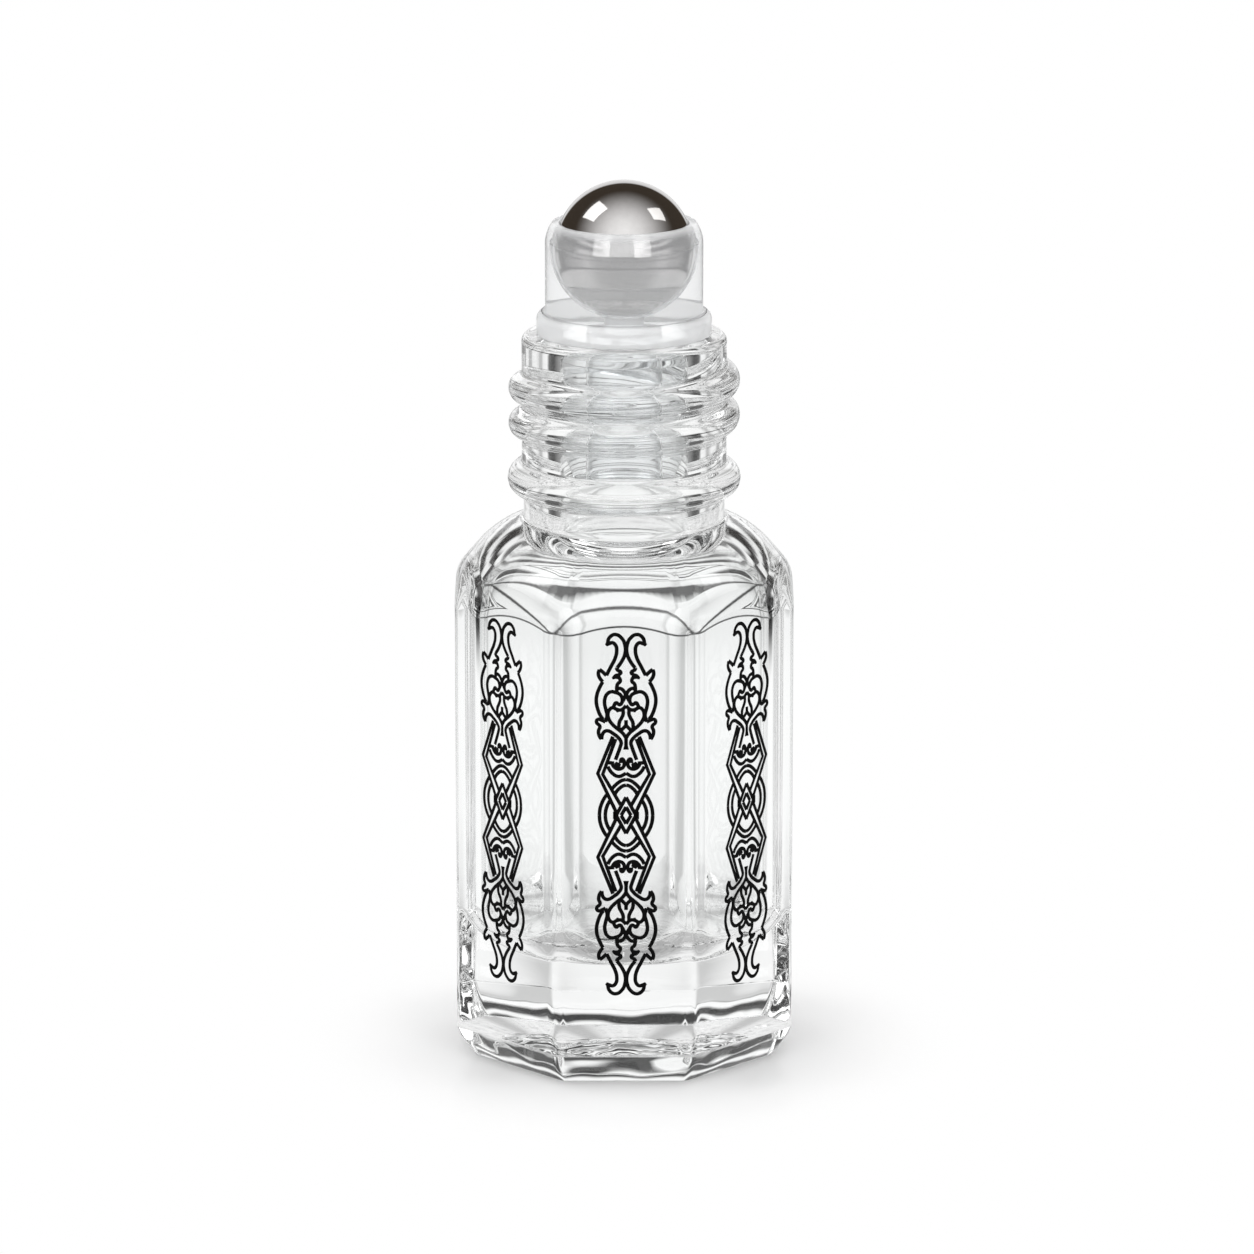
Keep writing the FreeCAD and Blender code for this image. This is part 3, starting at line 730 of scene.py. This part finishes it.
# Housing plastic: its clear share by height, as it is cloudier in the collar and the rim
HOUSING_REFRACTION = 1.04
HOUSING_TINTS = ((0.978, 0.986, 0.995), (0.992, 0.996, 1))
HOUSING_ROUGHNESS = (0.13, 0.2)
HOUSING_COAT = 0.4
HOUSING_COAT_ROUGHNESS = 0.4
CLOUD_SCALE = 220
CLEAR_BLEND = 0.14 * MM
CLEAR_SHARES = [
    (PLUG_TIP_Z, 0.985),
    (SEAT_Z - LIP_ROUND, 0.985),
    (SEAT_Z, 0.5),
    (COLLAR_TOP_Z - CLEAR_BLEND, 0.55),
    (COLLAR_TOP_Z + CLEAR_BLEND, 0.85),
    (RIM_Z - LIP_ROUND, 0.85),
    (RIM_Z, 0.6),
]

# Steel
STEEL_TINTS = ((0.48, 0.47, 0.46), (0.54, 0.53, 0.52))
STEEL_ROUGHNESS = (0.04, 0.1)
SCUFF_SCALE = 2500
SCUFF_STRENGTH = 0.05
SCUFF_DEPTH = 0.002 * MM

# Ink
INK_TINTS = ((0.001, 0.001, 0.001), (0.004, 0.004, 0.004))
INK_ROUGHNESS = (0.4, 0.7)
INK_SHINE = 0.05
MOTTLE_SCALE = 4000
MOTTLE_STRENGTH = 0.2
MOTTLE_DEPTH = 0.003 * MM


def base_relief(tree):
    """Add the relief of the glass's base: soft dimples underneath and a stipple on the chamfer."""
    place = own_place(tree)
    height = along(tree, place, UP)
    radius = length(tree, vector_step(tree, "MULTIPLY", place, LEVEL))
    foot = BODY_HALF - FOOT_INSET
    below = soft_step(tree, height, PUNT_DEPTH, CHAMFER_HEIGHT, 1, 0)
    inside = soft_step(tree, radius, foot - DIMPLE_FADE, foot, DIMPLE_MULTIPLE, 0)
    dimples = times(tree, times(tree, below, inside), noise(tree, DIMPLE_SCALE, detail=0))
    low = soft_step(tree, height, CHAMFER_HEIGHT, CHAMFER_HEIGHT + CHAMFER_ROUND, STIPPLE_MULTIPLE, 0)
    stipple = times(tree, low, noise(tree, STIPPLE_SCALE, detail=0))
    return plus(tree, dimples, stipple)


def glass_material():
    """Clear moulded glass with the faint upright waves of a fire-polished surface and an uneven base."""
    material, tree, shader = new_material("clear_glass")
    shader.inputs["Transmission Weight"].default_value = 1
    shader.inputs["Roughness"].default_value = 0
    shader.inputs["IOR"].default_value = GLASS_REFRACTION
    waves = noise(tree, WAVE_SCALE, detail=1, upright_share=WAVE_UPRIGHT_SHARE)
    tint(tree, waves, GLASS_TINTS, shader.inputs["Base Color"])
    emboss(tree, plus(tree, waves, base_relief(tree)), 1, GLASS_RELIEF, shader)
    return material


def housing_material():
    """Milky polypropylene: clear in the plug, veiled in the cup and cloudy in the collar and the rim."""
    material, tree, shader = new_material("housing_plastic")
    shader.inputs["IOR"].default_value = HOUSING_REFRACTION
    shader.inputs["Coat Weight"].default_value = HOUSING_COAT
    shader.inputs["Coat Roughness"].default_value = HOUSING_COAT_ROUGHNESS
    clouds = noise(tree, CLOUD_SCALE, detail=2)
    tint(tree, clouds, HOUSING_TINTS, shader.inputs["Base Color"])
    vary(tree, clouds, HOUSING_ROUGHNESS, shader.inputs["Roughness"])
    rise = share_between(tree, along(tree, own_place(tree), UP), PLUG_TIP_Z, RIM_Z)
    stops = [((height - PLUG_TIP_Z) / (RIM_Z - PLUG_TIP_Z), clear) for height, clear in CLEAR_SHARES]
    tree.links.new(grey_ramp(tree, rise, stops), shader.inputs["Transmission Weight"])
    return material


def steel_material():
    """Polished steel with the fine scuffs of a ball that has rolled."""
    material, tree, shader = new_material("ball_steel")
    shader.inputs["Metallic"].default_value = 1
    scuffs = noise(tree, SCUFF_SCALE, detail=6)
    tint(tree, scuffs, STEEL_TINTS, shader.inputs["Base Color"])
    vary(tree, scuffs, STEEL_ROUGHNESS, shader.inputs["Roughness"])
    emboss(tree, scuffs, SCUFF_STRENGTH, SCUFF_DEPTH, shader)
    return material


def ink_material():
    """Black screen-printed ink, slightly uneven in gloss."""
    material, tree, shader = new_material("print_ink")
    shader.inputs["Specular IOR Level"].default_value = INK_SHINE
    mottle = noise(tree, MOTTLE_SCALE, detail=4)
    tint(tree, mottle, INK_TINTS, shader.inputs["Base Color"])
    vary(tree, mottle, INK_ROUGHNESS, shader.inputs["Roughness"])
    emboss(tree, mottle, MOTTLE_STRENGTH, MOTTLE_DEPTH, shader)
    return material


def dress(piece, material, body):
    """Give a piece its material and the body it rides on."""
    piece.data.materials.clear()
    piece.data.materials.append(material)
    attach(piece, body)


# Floor, which shows the shadow out to where it fades into white
FLOOR_HALF = 3000 * MM
FLOOR_COLOUR = (0.94, 0.94, 0.94, 1)
FLOOR_ROUGHNESS = 0.3
FLOOR_SHINE = 0.35
SHADOW_NEAR = 11.5 * MM
SHADOW_FAR = 22 * MM

# Painted light and shade that glass and metal see on the floor, as grey cards by degrees from the back,
# near and far from the bottle; the front is painted darker
PAINTED_CARDS_NEAR = 100 * MM
PAINTED_CARDS_FAR = 120 * MM
NEAR_PAINTED_CARDS = [(0, 1), (6, 1), (12, 0.88), (18, 0.6), (24, 0.6), (30, 0.9), (40, 1), (110, 1), (135, 0.55),
              (180, 0.45)]
FAR_PAINTED_CARDS = [(0, 1), (6, 1), (12, 0.88), (18, 0.55), (24, 0.5), (30, 0.9), (40, 1), (46, 0.12),
             (58, 0.05), (66, 0.2), (80, 0.45), (100, 0.6), (115, 0.9), (135, 0.45), (180, 0.35)]

# Painted light and shade that glass and metal see on the floor, by millimetres from the axis: painted
# shade under and near the bottle, and painted dark rings farther out
PAINTED_FLOOR_RINGS = [(0, 0.9), (9, 0.9), (12, 0.84), (18, 0.95), (30, 1), (114, 1), (121, 0.05), (130, 0.05),
               (138, 1), (268, 1), (285, 0.04), (315, 0.04), (335, 1), (520, 1), (600, 0.06), (800, 0.06),
               (900, 1)]

# Brightness that glass sees in the room: by degrees from the back, and by degrees above the floor
SKY_CARDS = [(0, 1), (38, 1), (46, 0.1), (88, 0.1), (104, 1), (180, 1)]
SKY_BANDS = [(0, 1), (2, 1), (4, 0.03), (8, 0.03), (10, 1), (12, 1), (14, 0.05), (17, 0.05), (19, 1),
             (22, 1), (24, 0.2), (27, 0.2), (29, 1), (33, 1), (36, 0.03), (46, 0.03), (50, 1), (56, 1),
             (64, 0.3), (72, 0.3), (80, 0.9), (90, 0.9)]

# Glow that glass sees at the front: direction, cosines of its edge and its full part, brightness
FRONT_GLOW_TOWARD = (0, -0.94, 0.34)
FRONT_GLOW_COSINES = (0.7, 0.9)
FRONT_GLOW = 1.3

# Brightness that metal sees in the room: a dark room with a wide glow at the front and a small one behind
MIRROR_TINTS = ((0.07, 0.055, 0.042), (1.6, 1.6, 1.62))
MIRROR_TOWARD = (0, -0.8, 0.6)
MIRROR_POWER = 1.6
BACK_GLOW_COSINES = (0.86, 0.92)
BACK_GLOW = 0.75

# Even light on matt surfaces
FILL_LIGHT = 1.05

# Soft boxes: direction from the ball, distance, width, height, brightness to the eye, turn in degrees
SOFT_BOXES = {
    "high_left": ((-0.61, 0.097, 0.79), 500 * MM, 230 * MM, 230 * MM, 1.8, 25),
    "high_right": ((0.68, 0.097, 0.73), 500 * MM, 160 * MM, 190 * MM, 1.5, 45),
    "front_left": ((-0.6, -0.76, 0.245), 600 * MM, 300 * MM, 380 * MM, 1.2, 0),
    "front_right": ((0.5, -0.83, 0.245), 600 * MM, 300 * MM, 380 * MM, 1.2, 0),
}


def card_pattern(tree, place, cards):
    """Add a brightness by angle from the back, in steps like cards round the bottle: painted light and
    shade on the floor, and the room's own light in the world.
    """
    level = vector_step(tree, "NORMALIZE", vector_step(tree, "MULTIPLY", place, LEVEL))
    stops = [((math.cos(math.radians(angle)) + 1) / 2, light) for angle, light in cards]
    return grey_ramp(tree, share_between(tree, along(tree, level, BACK), -1, 1), stops)


def painted_floor_glow(tree, place, cards, rings):
    """Add the floor as glass and metal see it: a painted glow, with painted cards round the bottle and
    painted rings about its axis.
    """
    glow = tree.nodes.new("ShaderNodeEmission")
    tree.links.new(card_pattern(tree, place, cards), glow.inputs["Color"])
    tree.links.new(rings, glow.inputs["Strength"])
    return glow.outputs["Emission"]


def floor_material():
    """White that takes the bottle's shadow near it, and on which glass and metal see painted light and
    shade: painted cards, painted rings and painted shade near the bottle.
    """
    material, tree, shader = new_material("floor_white")
    shader.inputs["Base Color"].default_value = FLOOR_COLOUR
    shader.inputs["Roughness"].default_value = FLOOR_ROUGHNESS
    shader.inputs["Specular IOR Level"].default_value = FLOOR_SHINE
    place = own_place(tree)
    distance = length(tree, place)
    white = tree.nodes.new("ShaderNodeEmission").outputs["Emission"]
    beyond_shadow = soft_step(tree, distance, SHADOW_NEAR, SHADOW_FAR, 0, 1)
    seen = mix_shader(tree, beyond_shadow, shader.outputs["BSDF"], white)
    # Painted shade near the bottle and painted dark rings, by distance from the axis
    rings = grey_ramp(tree, distance, [(radius * MM, light) for radius, light in PAINTED_FLOOR_RINGS])
    near = painted_floor_glow(tree, place, NEAR_PAINTED_CARDS, rings)
    far = painted_floor_glow(tree, place, FAR_PAINTED_CARDS, rings)
    # Glass and metal see this painted glow on the floor, not the floor's own light and shadow
    painted_mirror_glow = mix_shader(tree, soft_step(tree, distance, PAINTED_CARDS_NEAR, PAINTED_CARDS_FAR, 0, 1), near, far)
    ray = tree.nodes.new("ShaderNodeLightPath")
    shiny = greater(tree, ray.outputs["Is Transmission Ray"], ray.outputs["Is Glossy Ray"])
    surface = tree.nodes["Material Output"].inputs["Surface"]
    tree.links.new(mix_shader(tree, shiny, seen, painted_mirror_glow), surface)
    return material


def floor_piece():
    """A wide white floor under the bottle."""
    mesh = bpy.data.meshes.new("floor")
    sides = ((-1, -1), (1, -1), (1, 1), (-1, 1))
    corners = [(FLOOR_HALF * across, FLOOR_HALF * back, 0) for across, back in sides]
    mesh.from_pydata(corners, [], [(0, 1, 2, 3)])
    mesh.materials.append(floor_material())
    floor = add_object("floor", mesh)


def sky_shader(tree, strength):
    """Add a plain white background of a strength."""
    sky = tree.nodes.new("ShaderNodeBackground")
    sky.inputs["Color"].default_value = WHITE
    sky.inputs["Strength"].default_value = strength
    return sky


def room_through_glass(tree, view):
    """Add the room that glass sees: cards round the bottle, bands above the floor, a glow at the front."""
    sky = sky_shader(tree, 1)
    stops = [(math.sin(math.radians(angle)), light) for angle, light in SKY_BANDS]
    bands = grey_ramp(tree, along(tree, view, UP), stops)
    front = soft_step(tree, along(tree, view, FRONT_GLOW_TOWARD), *FRONT_GLOW_COSINES, 0, FRONT_GLOW)
    tree.links.new(card_pattern(tree, view, SKY_CARDS), sky.inputs["Color"])
    tree.links.new(greater(tree, bands, front), sky.inputs["Strength"])
    return sky.outputs["Background"]


def room_in_metal(tree, view):
    """Add the room that metal mirrors: dark, with a wide glow at the front and a small one behind."""
    sky = sky_shader(tree, 1)
    behind = soft_step(tree, along(tree, view, BACK), *BACK_GLOW_COSINES, 0, BACK_GLOW)
    peak = tree.nodes.new("ShaderNodeMath")
    peak.operation = "POWER"
    peak.inputs[1].default_value = MIRROR_POWER
    tree.links.new(greater(tree, along(tree, view, MIRROR_TOWARD), behind), peak.inputs[0])
    tint(tree, peak.outputs["Value"], MIRROR_TINTS, sky.inputs["Color"])
    return sky.outputs["Background"]


def studio_world():
    """White for the camera, an even light for matt surfaces, and a room with cards for shiny ones."""
    world = bpy.data.worlds.new("studio")
    world.use_nodes = True
    tree = world.node_tree
    tree.nodes.clear()
    ray = tree.nodes.new("ShaderNodeLightPath")
    view = tree.nodes.new("ShaderNodeTexCoord").outputs["Generated"]
    fill = sky_shader(tree, FILL_LIGHT).outputs["Background"]
    white = sky_shader(tree, 1).outputs["Background"]
    sky = mix_shader(tree, ray.outputs["Is Glossy Ray"], fill, room_in_metal(tree, view))
    sky = mix_shader(tree, ray.outputs["Is Transmission Ray"], sky, room_through_glass(tree, view))
    sky = mix_shader(tree, ray.outputs["Is Camera Ray"], sky, white)
    output = tree.nodes.new("ShaderNodeOutputWorld")
    tree.links.new(sky, output.inputs["Surface"])
    bpy.context.scene.world = world


def soft_box(name, direction, distance, width, height, brightness, turn):
    """A rectangular soft light that faces the ball from a direction, as bright as given to the eye."""
    light = bpy.data.lights.new(name, "AREA")
    light.shape = "RECTANGLE"
    light.size = width
    light.size_y = height
    light.energy = brightness * math.pi * width * height
    away = Vector(direction).normalized()
    facing = away.to_track_quat("Z", "Y").to_matrix().to_4x4()
    turned = facing @ Matrix.Rotation(math.radians(turn), 4, "Z")
    lamp = add_object(name, light)
    lamp.matrix_world = Matrix.Translation(Vector((0, 0, BALL_Z)) + away * distance) @ turned


# How often light may turn inside the glass before it comes out
GLASS_BOUNCES = 40

# Camera, as in the photograph
CAMERA_LENS = 191.0
CAMERA_TILT = math.radians(14.2278)
CAMERA_TARGET = Vector((0.179, 0, 27.249)) * MM
CAMERA_DISTANCE = 423.5 * MM
CAMERA_CLIP = 10 * MM


def add_camera():
    """Set the camera at the photograph's angle."""
    data = bpy.data.cameras.new("camera")
    data.lens = CAMERA_LENS
    data.clip_start = CAMERA_CLIP
    camera = add_object("camera", data)
    back = Vector((0, -math.cos(CAMERA_TILT), math.sin(CAMERA_TILT)))
    camera.location = CAMERA_TARGET + back * CAMERA_DISTANCE
    camera.rotation_euler = (math.pi / 2 - CAMERA_TILT, 0, 0)
    bpy.context.scene.camera = camera


bottle = glass_piece()
dress(bottle, glass_material(), "bottle")
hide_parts("glass_bottle")
housing = housing_piece()
dress(housing, housing_material(), "fitment")
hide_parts("ball_housing")
ball = ball_piece()
dress(ball, steel_material(), "ball")
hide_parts("roller_ball")
ink = ink_material()
for print_piece in ornament_pieces():
    dress(print_piece, ink, "bottle")

floor_piece()
studio_world()
for box_name, box_settings in SOFT_BOXES.items():
    soft_box(box_name, *box_settings)
add_camera()
bpy.context.scene.view_settings.view_transform = "Standard"
bpy.context.scene.cycles.max_bounces = GLASS_BOUNCES
bpy.context.scene.cycles.transmission_bounces = GLASS_BOUNCES
bpy.context.scene.cycles.glossy_bounces = GLASS_BOUNCES
